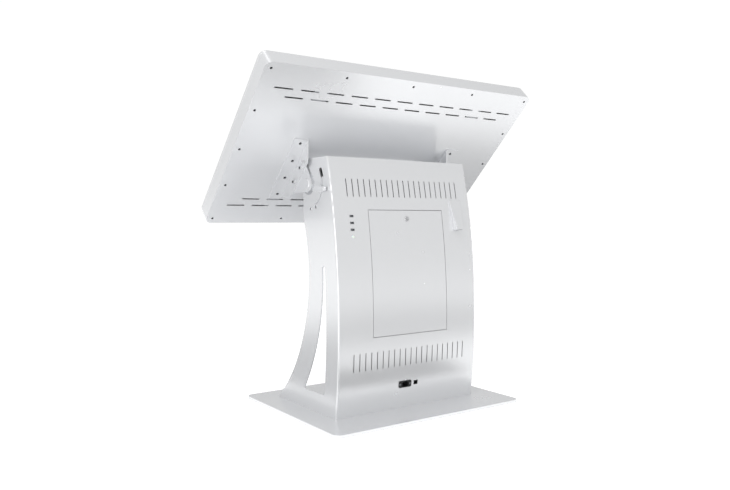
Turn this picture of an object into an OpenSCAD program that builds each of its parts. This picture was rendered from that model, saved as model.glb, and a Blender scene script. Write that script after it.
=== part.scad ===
// Ticket kiosk: a large tilting touch screen on a curved sheet-steel pedestal.
// +Z is up, the screen faces -Y, and the origin is the centre of the base plate's underside.
// "Right" is the +X side and "left" the -X side, as seen by someone facing the screen.

/* [Pedestal] */
// Width of the pedestal over its two side plates
pedestal_w = 560; // [500:1:680]
// Height of the pedestal's top above the floor
pedestal_h = 811; // [790:1:980]
// Height of the closed housing at the top of the pedestal
housing_h = 331; // [290:1:400]
// Depth of the thin box column that makes the pedestal's back
column_d = 70.5; // [62:0.5:90]
// Radius of the pedestal's curved back
rear_arc_r = 2230; // [1800:10:2800]
// How far the back bulges behind the base's centre
rear_apex_y = 165.5; // [150:0.5:190]
// Depth below the top at which the back bulges most
rear_bulge_drop = 529; // [480:1:570]
// Radius of the hollow front edge
front_arc_r = 550; // [520:1:580]
// Distance of the hollow front edge's centre in front of the base's centre
front_cy = -560; // [-580:1:-550]
// Height of the hollow front edge's centre
front_cz = 437; // [410:1:460]
// Place of the housing's upright front face
front_face_y = -42; // [-50:1:-38]
// Rounding between the hollow front edge and the upright front face
brow_r = 120; // [90:1:140]
// Height below the top at which the front face starts to lean back
brow_drop = 118; // [80:1:125]
// How far the front face leans back at the top
brow_lean = 8; // [0:1:12]
// Width of the front leg strip in front of the side window
leg_w = 83; // [70:1:90]
// Height of the side window's lower edge above the floor
window_low = 70; // [60:1:110]
// Corner rounding of the side window
window_r = 7; // [4:0.5:8]

/* [Sheet metal] */
// Thickness of the side plates
side_t = 4; // [3:0.5:5]
// Thickness of covers, panels and floors
sheet_t = 2; // [1.5:0.5:3]
// Outside radius of the bend down each rear edge
bend_r = 6; // [5:0.5:9]
// Width of the side plates' bent rear edges
rear_flange_w = 18; // [15:1:24]

/* [Base] */
// Width of the base plate
base_w = 736; // [700:1:900]
// Depth of the base plate
base_d = 582; // [540:1:720]
// Thickness of the base plate
base_t = 9; // [8:0.5:14]
// Corner radius of the base plate
base_corner_r = 25; // [10:1:60]
// Leg length of the foot angles
foot_leg = 30; // [26:1:36]

/* [Vents] */
// Number of slots in each row of the pedestal's back
vent_count = 21; // [15:1:23]
// Distance between slots
vent_pitch = 22.3; // [20:0.1:22.5]
// Height of a slot
vent_h = 56; // [40:1:60]
// Width of a slot
vent_w = 3; // [2.5:0.1:4]
// Centre of the upper row below the pedestal's top
vent_top_drop = 95; // [85:1:105]
// Centre of the lower row above the floor
vent_low_z = 176; // [165:1:190]

/* [Service door] */
// Width of the door opening
door_w = 303; // [240:1:320]
// Height of the door opening
door_h = 399; // [330:1:410]
// Top of the door opening below the pedestal's top
door_drop = 163; // [155:1:175]
// Gap around the door
door_gap = 1.5; // [1.5:0.1:2]
// Hinge axis in from the outer face
hinge_in = 12; // [11:0.5:14]
// Hinge axis below the opening
hinge_drop = 20; // [20:0.5:24]
// Half distance between the hinges
hinge_x = 110; // [90:1:115]
// Radius of the hinge pins
hinge_pin_r = 3; // [2.5:0.1:3.5]
// Lock centre below the top of the opening
lock_drop = 29; // [26:1:36]
// Radius of the lock's turning barrel
lock_barrel_r = 5; // [4:0.1:5.5]
// Length of the lock behind the door
lock_l = 18; // [16:1:22]

/* [Tilt] */
// Lean of the screen back from upright, as stored
tilt = 45; // [35:1:50]
// Travel from there to upright
tilt_up = 43; // [40:1:43]
// Travel from there to flat
tilt_down = 45; // [40:1:45]
// Place of the tilt axis
pivot_y = -8; // [-12:1:-4]
// Tilt axis below the pedestal's top
pivot_drop = 81; // [78:1:84]
// Tilt axis to the outer face of the screen's back
pivot_gap = 90; // [90:1:100]
// Centre of the screen above the tilt axis, along the screen
pivot_rise = 51; // [30:1:70]
// Outside radius of the tilt shaft
shaft_r = 12.5; // [11:0.5:15]
// Wall of the tilt shaft
shaft_wall = 3.5; // [2.5:0.5:5]
// Radius of the guide slots' centre line
slot_r = 82; // [80:0.5:83]
// Width of the guide slots
slot_w = 15.5; // [13:0.5:17]
// Place of the clamp bolts around the axis, above the rear level
clamp_angle = -13.4; // [-15:0.1:-12]
// Radius of the clamp bolts
clamp_bolt_r = 4; // [3:0.5:5]
// Length of the clamp levers
lever_l = 60; // [50:1:60]

/* [Screen head] */
// Width of the head
head_w = 1055; // [900:1:1300]
// Height of the head
head_h = 632; // [600:1:780]
// Depth of the head
head_d = 56; // [54:1:80]
// Corner radius of the head
head_corner_r = 22; // [20:1:30]
// Metal rim around the glass
rim_w = 18; // [14:1:24]
// Thickness of the glass
glass_t = 4; // [3:0.5:6]
// Border of the display module inside the glass edge
glass_border = 27; // [24:1:40]
// Thickness of the display module
lcd_t = 20; // [14:0.5:22]
// Screws along each edge of the rear panel
panel_screws = 5; // [3:1:7]
// Screw centres in from the rear panel's edge
panel_screw_in = 21; // [18:1:24]
// Length of a slot in the rear panel
panel_slot_l = 62; // [50:1:70]
// Width of a slot in the rear panel
panel_slot_w = 5; // [4:0.5:6]
// Distance between slots in the rear panel
panel_slot_pitch = 88.7; // [80:0.1:90]
// Slots in the outer rows, one more than in the inner rows
panel_slots = 11; // [7:1:11]
// Outer slot rows in from the rear panel's edge
panel_slot_in = 82; // [70:1:90]
// Distance between an outer and an inner slot row
panel_slot_step = 29; // [20:1:34]

/* [Head brackets] */
// Width of the mounting angles' flanges
angle_w = 50; // [44:1:60]
// Length of the mounting angles
angle_l = 251; // [240:1:260]
// Upper end of the mounting angles above the tilt axis, along the screen
angle_top = 109; // [100:1:120]
// Thickness of the mounting angles
angle_t = 4; // [3:0.5:5]
// Length of the mounting angles' legs
angle_leg = 50; // [44:1:56]
// Thickness of the tilt arms
arm_t = 5; // [4:0.5:6]
// Space between a side plate and its tilt arm
arm_space = 3; // [2:0.5:4]
// Radius of a tilt arm's end around the axis
arm_end_r = 26; // [22:1:30]
// Distance between the mounting angles' screws
angle_screw_pitch = 72.3; // [65:0.1:74]

/* [Ticket printer] */
// Width of the ticket roll
roll_w = 80; // [58:1:82]
// Radius of the full ticket roll
roll_r = 36; // [26:1:38]
// Radius of the roll's core bore
core_r = 6.35; // [6:0.01:7]
// Height of the ticket exit above the housing floor
exit_rise = 80; // [76:1:90]
// Height of the ticket slot
exit_h = 8; // [6:0.5:10]
// Radius of the printer's rubber roller
platen_r = 7; // [6:0.5:8]

/* [Sockets and lamp] */
// Height of the sockets at the foot above the floor
inlet_z = 87; // [75:1:100]
// Place of the mains inlet across the back
inlet_x = 20; // [15:1:60]
// Place of the network socket across the back
network_x = -24; // [-60:1:-22]
// Place of the USB sockets across the back
usb_x = 215; // [190:1:240]
// Upper USB socket below the pedestal's top
usb_drop = 183; // [175:1:200]
// Distance between the USB sockets and to the lamp
usb_pitch = 21; // [18:1:24]
// Place of the cable hood across the back
hood_x = -212; // [-220:1:-190]
// Top of the cable hood below the pedestal's top
hood_drop = 128; // [126:1:150]
// Height of the cable hood
hood_h = 103; // [80:1:120]
// Depth of the cable hood at its mouth
hood_d = 20; // [14:1:26]
// Width of the exhaust fan
fan_w = 80; // [60:1:92]

/* [Hidden] */

$fn = 48;
arc_fn = 720;            // facets of a full turn on the pedestal's large arcs
big = 3000;              // longer than any part, for cutting shapes
run_fit = 0.06;          // radial clearance of a turning shaft
slip_fit = 0.25;         // clearance of a part that only has to pass
seam = 0.02;             // step left where two curved cuts would only touch
face_gap = 0.3;          // clearance between flat faces that slide past each other

side_x = pedestal_w / 2;                     // outer face of a side plate
side_in = side_x - side_t;                   // inner face of a side plate
rear_cy = rear_apex_y - rear_arc_r;
rear_cz = pedestal_h - rear_bulge_drop;      // height at which the back bulges most
cover_x = side_x - rear_flange_w;            // half width of the rear cover
column_r = rear_arc_r - column_d;            // front face of the column
pivot_z = pedestal_h - pivot_drop;
housing_z = pedestal_h - housing_h;          // underside of the housing
door_top = pedestal_h - door_drop;
door_low = door_top - door_h;
vent_top_z = pedestal_h - vent_top_drop;
brow_z = pedestal_h - brow_drop;
lock_z = door_top - lock_drop;
usb_z = pedestal_h - usb_drop;
exit_z = housing_z + exit_rise;

brow_cy = front_face_y + brow_r;
brow_span = brow_cy - front_cy;
brow_cz = front_cz + sqrt(pow(front_arc_r + brow_r, 2) - pow(brow_span, 2));
brow_start_z = front_cz + (brow_cz - front_cz) * front_arc_r / (front_arc_r + brow_r);

arm_in = side_x + arm_space;                 // inner face of a tilt arm
arm_out = arm_in + arm_t;                    // outer face, where the mounting angle bolts on
angle_low = angle_top - angle_l;
head_back = pivot_gap;                       // outer face of the head's back, from the tilt axis
head_front = head_back + head_d;
glass_w = head_w - 2 * rim_w;
glass_h = head_h - 2 * rim_w;
lcd_w = glass_w - 2 * glass_border;
lcd_h = glass_h - 2 * glass_border + 16;
lcd_front = head_front - glass_t - 0.5;
lcd_back = lcd_front - lcd_t;

// Place of the back's outer face at a height, and its lean there
function rear_y(z, r = rear_arc_r) = rear_cy + sqrt(r * r - pow(z - rear_cz, 2));
function rear_lean(z) = asin((z - rear_cz) / rear_arc_r);
// Place of the hollow front edge at a height, and its lean there
function front_y(z) =
    z < brow_start_z ? front_cy + sqrt(pow(front_arc_r, 2) - pow(z - front_cz, 2)) : front_face_y;
function front_lean(z) = z < brow_start_z ? asin((z - front_cz) / front_arc_r) : 0;
// Places of evenly spaced items around zero
function spread(count, pitch) = [for (i = [0:count - 1]) (i - (count - 1) / 2) * pitch];

// Extrudes a shape drawn in Y and Z from x0 to x1
module along_x(x0, x1) {
    translate([x0, 0, 0]) rotate([90, 0, 90]) linear_extrude(x1 - x0) children();
}

// Shows its children as drawn on the +X side, or mirrored to the -X side
module on_side(side) {
    mirror([side > 0 ? 0 : 1, 0, 0]) children();
}

module both_sides() {
    for (side = [1, -1]) on_side(side) children();
}

// Frame on the back's outer face: Z outwards, Y up the face
module at_rear(x, z) {
    translate([x, rear_y(z), z]) rotate([90 - rear_lean(z), 0, 180]) children();
}

// Frame on the housing's front face: Z outwards, Y up the face
module at_front(x, z) {
    translate([x, front_y(z), z]) rotate([90 + front_lean(z), 0, 0]) children();
}

// Frame on the tilt axis: Y up the screen, Z towards the viewer
module in_head() {
    translate([0, pivot_y, pivot_z]) rotate([90 - tilt, 0, 0]) children();
}

// Frame along the tilt axis: Z along +X, angles counted from the rear level upwards
module about_pivot(angle = 0) {
    translate([0, pivot_y, pivot_z]) rotate([0, 90, 0]) rotate([0, 0, 90 + angle]) children();
}

module tube(r, bore, h) {
    difference() {
        cylinder(r = r, h = h);
        translate([0, 0, -1]) cylinder(r = bore, h = h + 2);
    }
}

// Outline with round corners, centred
module round_rect(w, h, r) {
    square([w - 2 * r, h], center = true);
    square([w, h - 2 * r], center = true);
    for (x = [-1, 1], y = [-1, 1]) translate([x * (w / 2 - r), y * (h / 2 - r)]) circle(r);
}

// Slot outline with round ends, its length along Y
module slot_shape(l, w) {
    square([w, l - w], center = true);
    for (y = [-1, 1]) translate([0, y * (l - w) / 2]) circle(w / 2, $fn = 16);
}

// Outline of the solid inside the back's curve, in Y and Z
module rear_disc(r) {
    translate([rear_cy, rear_cz]) circle(r, $fn = arc_fn);
}

// Solid inside the back's curve
module inside_rear(r) {
    along_x(-side_x - 50, side_x + 50) rear_disc(r);
}

// Turns a shape drawn in radius and X about the back's centre, from height z0 to z1
module rear_sweep(z0, z1) {
    start = acos((rear_cz - z0) / rear_arc_r) - 0.5;
    end = acos((rear_cz - z1) / rear_arc_r) + 0.5;
    intersection() {
        translate([0, rear_cy, rear_cz]) rotate([0, 90, 0]) rotate([0, 0, start])
            rotate_extrude(angle = end - start, $fn = arc_fn) children();
        translate([-big / 2, -big / 2, z0]) cube([big, big, z1 - z0]);
    }
}

// Curved sheet with its outer face at radius r, of half width x
module rear_sheet(r, x, z0, z1) {
    rear_sweep(z0, z1) translate([r - sheet_t, -x]) square([sheet_t, 2 * x]);
}

// Outline of the pedestal seen from the side, in Y and Z
module pedestal_outline() {
    difference() {
        intersection() {
            rear_disc(rear_arc_r);
            polygon([
                [front_y(base_t), base_t], [rear_apex_y + 1, base_t],
                [rear_apex_y + 1, pedestal_h], [front_face_y + brow_lean, pedestal_h],
                [front_face_y, brow_z], [front_face_y, front_cz + leg_w]
            ]);
        }
        translate([front_cy, front_cz]) circle(front_arc_r, $fn = arc_fn / 2);
        difference() {
            translate([front_face_y - brow_r, brow_start_z])
                square([2 * brow_r, brow_cz - brow_start_z]);
            translate([brow_cy, brow_cz]) circle(brow_r, $fn = 180);
        }
    }
}

// Outline of the window between the leg strip and the column
module window_outline() {
    offset(window_r, $fn = 32) offset(delta = -window_r) difference() {
        intersection() {
            rear_disc(column_r);
            translate([-big / 2, window_low])
                square([big, housing_z - window_r - window_low]);
        }
        translate([front_cy, front_cz]) circle(front_arc_r + leg_w, $fn = arc_fn / 2);
        translate([-big, -big / 2]) square([big + front_cy, big]);
    }
}

// Curved slot around the tilt axis for the clamp bolt, with half a degree to spare
module guide_slot(x0, x1) {
    low = clamp_angle - tilt_down - 0.5;
    high = clamp_angle + tilt_up + 0.5;
    about_pivot(low) rotate_extrude(angle = high - low, $fn = 180)
        translate([slot_r - slot_w / 2 + seam, x0]) square([slot_w - 2 * seam, x1 - x0]);
    for (a = [low, high])
        about_pivot(a) translate([slot_r, 0, x0]) cylinder(r = slot_w / 2, h = x1 - x0);
}

/* Pedestal */

bolt_r = 4;
foot_bolt_head_r = 8;
foot_bolts = 4;
foot_angle_t = 4;
foot_y0 = front_y(base_t) + 24;
foot_y1 = rear_y(base_t) - 24;
foot_x = side_in - foot_leg / 2 - 2;
function foot_bolt_y(i) = foot_y0 + 20 + (foot_y1 - foot_y0 - 40) * i / (foot_bolts - 1);

module at_foot_bolts() {
    both_sides() for (i = [0:foot_bolts - 1]) translate([foot_x, foot_bolt_y(i), 0]) children();
}

module countersunk_bolt(r, head_r, l) {
    cylinder(r1 = head_r, r2 = r, h = head_r - r);
    cylinder(r = r, h = l);
}

module base_plate() {
    color("#dcdde0") difference() {
        linear_extrude(base_t) round_rect(base_w, base_d, base_corner_r);
        at_foot_bolts() {
            translate([0, 0, -1]) cylinder(r = bolt_r, h = base_t + 2);
            translate([0, 0, -0.01])
                cylinder(r1 = foot_bolt_head_r + 0.05, r2 = bolt_r, h = foot_bolt_head_r - bolt_r + 0.05);
        }
    }
}

module base_bolts() {
    color("#8a8c90") at_foot_bolts()
        countersunk_bolt(bolt_r, foot_bolt_head_r, base_t + foot_angle_t + 4);
}

// Angle along the inside foot of each side plate
module foot_angles() {
    color("#c4c6c9") difference() {
        both_sides() translate([0, foot_y0, base_t]) {
            translate([side_in - foot_leg, 0, 0]) cube([foot_leg, foot_y1 - foot_y0, foot_angle_t]);
            translate([side_in - foot_angle_t, 0, 0])
                cube([foot_angle_t, foot_y1 - foot_y0, foot_leg]);
        }
        at_foot_bolts() cylinder(r = bolt_r, h = base_t + foot_leg);
    }
}

bush_r = shaft_r + 3.5;
side_screw_r = 3;
side_screw_angle = -81;
side_screw_radius = 80;

// What the bend down a rear edge takes off the square corner, in radius and X
module bend_waste() {
    corner_r = rear_arc_r - bend_r;
    corner_x = side_x - bend_r;
    rear_sweep(base_t - 1, pedestal_h + 1) difference() {
        translate([corner_r, corner_x]) square(bend_r + 1);
        translate([corner_r, corner_x]) circle(bend_r - seam);
    }
}

// Side plate with its rear edge bent inwards along the back's curve
module side_plate(side) {
    color("#d3d4d6") on_side(side) difference() {
        union() {
            along_x(side_in, side_x) pedestal_outline();
            along_x(cover_x, side_x) difference() {
                pedestal_outline();
                rear_disc(rear_arc_r - side_t);
            }
        }
        bend_waste();
        along_x(side_in - 1, side_x + 1) window_outline();
        guide_slot(side_in - 1, side_x + 1);
        about_pivot() translate([0, 0, side_in - 1]) cylinder(r = bush_r, h = side_t + 2);
        about_pivot(side_screw_angle) translate([side_screw_radius, 0, side_in - 1])
            cylinder(r = side_screw_r, h = side_t + 2);
    }
}

module side_plate_left() { side_plate(-1); }
module side_plate_right() { side_plate(1); }

inlet_flange_w = 50;
inlet_flange_h = 22;
inlet_body_w = 27.5;
inlet_body_h = 20;
inlet_screw_x = 20;
network_w = 16;
network_h = 14;
usb_w = 14.6;
usb_h = 7.4;
lamp_r = 3;
hood_top_w = 50;
hood_mouth_w = 26;
hood_wall = 1.5;
hood_mid_z = pedestal_h - hood_drop - hood_h / 2;
hood_hole_r = 8;
fan_bore_r = fan_w / 2 - 3;
cover_screw_r = 2;
fan_screw_step = fan_w - 10;

module at_usb() {
    for (i = [0:2]) at_rear(usb_x, usb_z - i * usb_pitch) children();
}

// Curved back with its vents, door opening and socket cut-outs
module rear_cover() {
    color("#d7d8da") difference() {
        rear_sheet(rear_arc_r, cover_x, base_t, pedestal_h);
        translate([-door_w / 2, 0, door_low]) cube([door_w, big, door_h]);
        for (z = [vent_low_z, vent_top_z], x = spread(vent_count, vent_pitch))
            translate([x, big / 2, z]) rotate([90, 0, 0])
                linear_extrude(big / 2) slot_shape(vent_h, vent_w);
        at_rear(inlet_x, inlet_z) {
            translate([0, 0, -10]) linear_extrude(20)
                square([inlet_body_w + 0.5, inlet_body_h + 0.5], center = true);
            for (x = [-1, 1]) translate([x * inlet_screw_x, 0, -10])
                cylinder(r = cover_screw_r, h = 20);
        }
        at_rear(network_x, inlet_z) translate([0, 0, -10]) linear_extrude(20)
            square([network_w + 0.4, network_h + 0.4], center = true);
        at_usb() translate([0, 0, -10]) linear_extrude(20)
            square([usb_w + 0.4, usb_h + 0.4], center = true);
        at_rear(usb_x, usb_z - 3 * usb_pitch) translate([0, 0, -10]) cylinder(r = lamp_r, h = 20);
        at_rear(hood_x, hood_mid_z) translate([0, -hood_h / 4, -10])
            cylinder(r = hood_hole_r, h = 20);
    }
}

// Front wall of the column, with the same curve as the back
module column_front_panel() {
    color("#cdced1") difference() {
        rear_sheet(column_r + sheet_t, side_in, base_t, housing_z);
        both_sides() translate([side_in, 0, base_t]) {
            mirror([1, 0, 0]) cube([foot_leg + slip_fit, big, foot_angle_t + slip_fit]);
            mirror([1, 0, 0]) cube([foot_angle_t + slip_fit, big, foot_leg + slip_fit]);
        }
    }
}

// Front wall of the housing, following the side plates' front edge
module upper_front_panel() {
    color("#cdced1") difference() {
        along_x(-side_in, side_in) difference() {
            intersection() {
                pedestal_outline();
                translate([-big / 2, housing_z + sheet_t]) square(big);
            }
            translate([sheet_t, 0]) intersection() {
                pedestal_outline();
                translate([-big / 2, housing_z]) square(big);
            }
            translate([pivot_y, 0]) square(big);
        }
        at_front(0, exit_z) translate([0, 0, -20]) linear_extrude(40)
            square([roll_w + 8, exit_h + 6], center = true);
    }
}

// Floor of the housing, from the front wall to the column
module housing_floor() {
    color("#cdced1") along_x(-side_in, side_in) intersection() {
        pedestal_outline();
        rear_disc(column_r + sheet_t);
        translate([-big / 2, housing_z]) square([big, sheet_t]);
    }
}

// Lid of the housing, let in between the walls
module top_cover() {
    color("#d9dadc") along_x(-side_in, side_in) intersection() {
        translate([sheet_t, 0]) pedestal_outline();
        rear_disc(rear_arc_r - side_t);
        translate([-big / 2, pedestal_h - sheet_t]) square([big, sheet_t]);
    }
}

stay_w = 20;
stay_z = pedestal_h - sheet_t - stay_w;
stay_y = front_y(stay_z) + brow_lean + sheet_t;

// Square tube that ties the side plates together behind the front wall
module stay_bar() {
    color("#b9bbbe") along_x(-side_in, side_in) translate([stay_y, stay_z]) difference() {
        square(stay_w);
        translate([2, 2]) square(stay_w - 4);
    }
}

bush_l = side_t + 4;
bush_flange_r = bush_r + 4;
bush_flange_t = 2;

// Flanged bushes that carry the tilt shaft in the side plates
module pivot_bushes() {
    color("#b08d57") both_sides() about_pivot() difference() {
        union() {
            translate([0, 0, side_x - bush_l]) cylinder(r = bush_r, h = bush_l);
            translate([0, 0, side_in - bush_flange_t]) cylinder(r = bush_flange_r, h = bush_flange_t);
        }
        translate([0, 0, side_x - bush_l - 1]) cylinder(r = shaft_r + run_fit, h = bush_l + 2);
    }
}

washer_r = 34;

// Friction washers between the side plates and the tilt arms
module friction_washers() {
    color("#e9eaec") both_sides() about_pivot() translate([0, 0, side_x])
        tube(washer_r, shaft_r + run_fit, arm_space - face_gap);
}

// Low-headed screws that close the side plates' jig holes, flush on the inside
module side_screws() {
    color("#e2e3e5") both_sides() about_pivot(side_screw_angle)
        translate([side_screw_radius, 0, 0]) {
            translate([0, 0, side_x]) cylinder(r1 = side_screw_r + 2.5, r2 = side_screw_r + 1, h = 1.4);
            translate([0, 0, side_in]) cylinder(r = side_screw_r, h = side_t + 0.2);
        }
}

/* Sockets, lamp and hood on the back */

inlet_cavity_w = 24.4;
inlet_cavity_h = 16.4;
inlet_depth = 22;

// Three-pin mains inlet in a screwed flange
module mains_inlet() {
    color("#17181a") at_rear(inlet_x, inlet_z) difference() {
        union() {
            translate([0, 0, 0.05]) linear_extrude(2.4) round_rect(inlet_flange_w, inlet_flange_h, 5);
            translate([0, 0, -inlet_depth]) linear_extrude(inlet_depth + 1)
                square([inlet_body_w, inlet_body_h], center = true);
        }
        translate([0, 0, -inlet_depth + 3]) linear_extrude(inlet_depth)
            polygon([
                [-inlet_cavity_w / 2, -inlet_cavity_h / 2], [inlet_cavity_w / 2, -inlet_cavity_h / 2],
                [inlet_cavity_w / 2, inlet_cavity_h / 2 - 4], [inlet_cavity_w / 2 - 4, inlet_cavity_h / 2],
                [-inlet_cavity_w / 2 + 4, inlet_cavity_h / 2], [-inlet_cavity_w / 2, inlet_cavity_h / 2 - 4]
            ]);
        for (x = [-1, 1]) translate([x * inlet_screw_x, 0, -1]) cylinder(r = cover_screw_r, h = 5);
    }
    color("#c9b27a") at_rear(inlet_x, inlet_z) for (x = [-7, 0, 7])
        translate([x - 1, x == 0 ? 0 : -4, -inlet_depth + 3]) cube([2, 4, inlet_depth - 8]);
}

module inlet_screws() {
    color("#9a9ca0") at_rear(inlet_x, inlet_z) for (x = [-1, 1])
        translate([x * inlet_screw_x, 0, 0]) {
            translate([0, 0, 2.45]) cylinder(r1 = 3.4, r2 = 2.4, h = 1.4);
            translate([0, 0, -6]) cylinder(r = cover_screw_r, h = 9);
        }
}

module network_socket() {
    color("#1b1c1f") at_rear(network_x, inlet_z) difference() {
        translate([0, 0, -17]) linear_extrude(17.6) square([network_w, network_h], center = true);
        translate([0, 0.5, -12]) linear_extrude(14) {
            square([12, 8], center = true);
            translate([-3.5, -6]) square([7, 3]);
        }
    }
}

module usb_sockets() {
    color("#2a2b2e") at_usb() {
        difference() {
            translate([0, 0, -14]) linear_extrude(14.5) square([usb_w, usb_h], center = true);
            translate([0, 0, -12]) linear_extrude(14) square([12.6, 5.2], center = true);
        }
        translate([-5.2, -0.3, -12]) cube([10.4, 2, 6]);
    }
}

module status_lamp() {
    color("#f4f6f4") at_rear(usb_x, usb_z - 3 * usb_pitch) {
        translate([0, 0, -8]) cylinder(r = lamp_r, h = 9);
        translate([0, 0, 0.05]) cylinder(r1 = lamp_r + 1.5, r2 = lamp_r + 0.8, h = 1);
    }
}

// Front view of the hood, narrowing down to its mouth
module hood_front(inset) {
    top = hood_top_w / 2 - inset;
    mouth = hood_mouth_w / 2 - inset;
    low = -hood_h / 2 - (inset > 0 ? 2 : 0);
    polygon([[-mouth, low], [mouth, low], [top, hood_h / 2 - inset], [-top, hood_h / 2 - inset]]);
}

module hood_solid(inset) {
    intersection() {
        translate([0, 0, -5]) linear_extrude(hood_d + 10) hood_front(inset);
        rotate([0, -90, 0]) linear_extrude(hood_top_w + 10, center = true) polygon([
            [-3, -hood_h], [hood_d - inset, -hood_h], [hood_d - inset, -hood_h / 2],
            [hood_wall - inset, hood_h / 2], [-3, hood_h / 2]
        ]);
    }
}

// Tapered hood over the cable hole, flush at its top and open at its mouth
module cable_hood() {
    color("#dfe0e2") difference() {
        at_rear(hood_x, hood_mid_z) difference() {
            hood_solid(0);
            hood_solid(hood_wall);
        }
        inside_rear(rear_arc_r + 0.02);
    }
}

/* Service door */

door_out_y = rear_y(door_low);
hinge_y = door_out_y - hinge_in;
hinge_z = door_low - hinge_drop;
gooseneck_w = 12;
gooseneck_t = 6;
gooseneck_back = hinge_drop + 4;             // how far the arm reaches in behind the cover
gooseneck_up = hinge_drop + 8;
hinge_boss_r = 6;
ear_t = 5;
ear_gap = 0.5;

module at_hinge() {
    translate([0, hinge_y, hinge_z]) children();
}

// Door, the same curve as the back and flush with it
module service_door() {
    color("#dadbdd") difference() {
        rear_sheet(rear_arc_r, door_w / 2 - door_gap, door_low + door_gap, door_top - door_gap);
        at_rear(0, lock_z) translate([0, 0, -10]) cylinder(r = lock_case_r, h = 20);
    }
}

// Curved arms that carry the door round the edge of its opening
module door_hinge_arms() {
    color("#8f9195") intersection() {
        inside_rear(rear_arc_r - sheet_t - 0.05);
        at_hinge() both_sides() difference() {
            translate([hinge_x, 0, 0]) {
                along_x(-gooseneck_w / 2, gooseneck_w / 2) {
                    circle(hinge_boss_r);
                    translate([-gooseneck_back, -gooseneck_t / 2])
                        square([gooseneck_back, gooseneck_t]);
                    translate([-gooseneck_back - gooseneck_t, -gooseneck_t / 2])
                        square([gooseneck_t, gooseneck_up + 1.5 * gooseneck_t]);
                    translate([-gooseneck_back - gooseneck_t, gooseneck_up])
                        square([gooseneck_back + gooseneck_t + hinge_in, gooseneck_t]);
                }
            }
            along_x(hinge_x - 20, hinge_x + 20) circle(hinge_pin_r + run_fit);
        }
    }
}

// Ears and pins that carry the door's arms below the opening
module hinge_brackets() {
    ear_x = gooseneck_w / 2 + ear_gap;
    color("#8f9195") intersection() {
        inside_rear(rear_arc_r - sheet_t - 0.05);
        at_hinge() both_sides() translate([hinge_x, 0, 0]) {
            for (x = [-ear_x - ear_t, ear_x]) along_x(x, x + ear_t) {
                circle(hinge_boss_r);
                translate([0, -hinge_boss_r]) square([hinge_in, 2 * hinge_boss_r]);
            }
            along_x(-ear_x - ear_t, ear_x + ear_t) circle(hinge_pin_r);
        }
    }
}

lock_case_r = 7.5;
lock_face_r = 9;
cam_l = lock_drop + 9;
cam_w = 14;
cam_t = 2.5;

module lock_case() {
    color("#e6e7e8") at_rear(0, lock_z) difference() {
        union() {
            translate([0, 0, -lock_l]) cylinder(r = lock_case_r, h = lock_l + 1);
            translate([0, 0, 0.05]) cylinder(r1 = lock_face_r, r2 = lock_face_r - 1, h = 1.5);
            translate([0, 0, -sheet_t - 3.2]) cylinder(r = lock_case_r + 4, h = 3, $fn = 6);
        }
        translate([0, 0, -lock_l - 1]) cylinder(r = lock_barrel_r + run_fit, h = lock_l + 4);
    }
}

module lock_barrel() {
    color("#c7c9cc") at_rear(0, lock_z) difference() {
        translate([0, 0, -lock_l - cam_t - 2]) cylinder(r = lock_barrel_r, h = lock_l + cam_t + 3.4);
        translate([-0.6, -3, -4]) cube([1.2, 6, 8]);
    }
}

// Cam on the barrel's inner end, stored level and turned up to lock
module lock_cam() {
    color("#a5a7ab") at_rear(0, lock_z) translate([0, 0, -lock_l - cam_t - 0.3])
        linear_extrude(cam_t) difference() {
            union() {
                circle(cam_w / 2);
                translate([0, -cam_w / 2]) square([cam_l - cam_w / 2, cam_w]);
                translate([cam_l - cam_w / 2, 0]) circle(cam_w / 2);
            }
            circle(lock_barrel_r);
        }
}

/* Inside the housing and the column */

floor_top = housing_z + sheet_t;
wall_gap = 2;                                // between the front wall and what stands behind it
bezel_plug = 6;                              // how far the ticket exit reaches in behind the face
pc_w = 150;
pc_d = 84;
pc_h = 40;
pc_x = side_in - 30 - pc_w;
pc_y = front_y(floor_top) + sheet_t + wall_gap;

module mini_pc() {
    color("#3a3c40") translate([pc_x, pc_y, floor_top]) difference() {
        cube([pc_w, pc_d, pc_h]);
        for (x = spread(9, 12)) translate([pc_w / 2 + x, pc_d - 3, 10]) cube([5, 4, pc_h - 20]);
    }
}

supply_w = 38;
supply_d = 56;
supply_h = 199;
supply_z = window_low + 50;
supply_y = rear_apex_y - column_d + sheet_t + face_gap;

// Supply on the inside of the right side plate, behind the window
module power_supply() {
    color("#9da0a4") translate([side_in - supply_w, supply_y, supply_z]) {
        difference() {
            cube([supply_w, supply_d, supply_h]);
            for (z = spread(8, 14)) translate([-1, 10, supply_h / 2 + z]) cube([3, supply_d - 20, 5]);
        }
    }
}

printer_w = roll_w + 36;
printer_front = max(front_y(floor_top) + sheet_t, front_y(exit_z) + bezel_plug) + wall_gap;
printer_depth = 62;
platen_shaft_r = 2.5;
platen_y = printer_front + 14;
platen_z = exit_z - platen_r;
bed_h = exit_rise - sheet_t - 2 * platen_r - 4;
ear_w = 5;
ear_x0 = roll_w / 2 + 3;

// Printer mechanism: base block, ears for the rubber roller, and the print head bar
module ticket_printer() {
    color("#55585d") {
        translate([-printer_w / 2, printer_front, floor_top])
            cube([printer_w, printer_depth, bed_h]);
        difference() {
            both_sides() translate([ear_x0, printer_front, floor_top + bed_h])
                cube([ear_w, 28, exit_rise - sheet_t - bed_h + 12]);
            along_x(-printer_w, printer_w) translate([platen_y, platen_z])
                circle(platen_shaft_r + run_fit);
        }
        translate([-ear_x0, platen_y - 5, exit_z + 1]) cube([2 * ear_x0, 12, 9]);
    }
}

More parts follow.
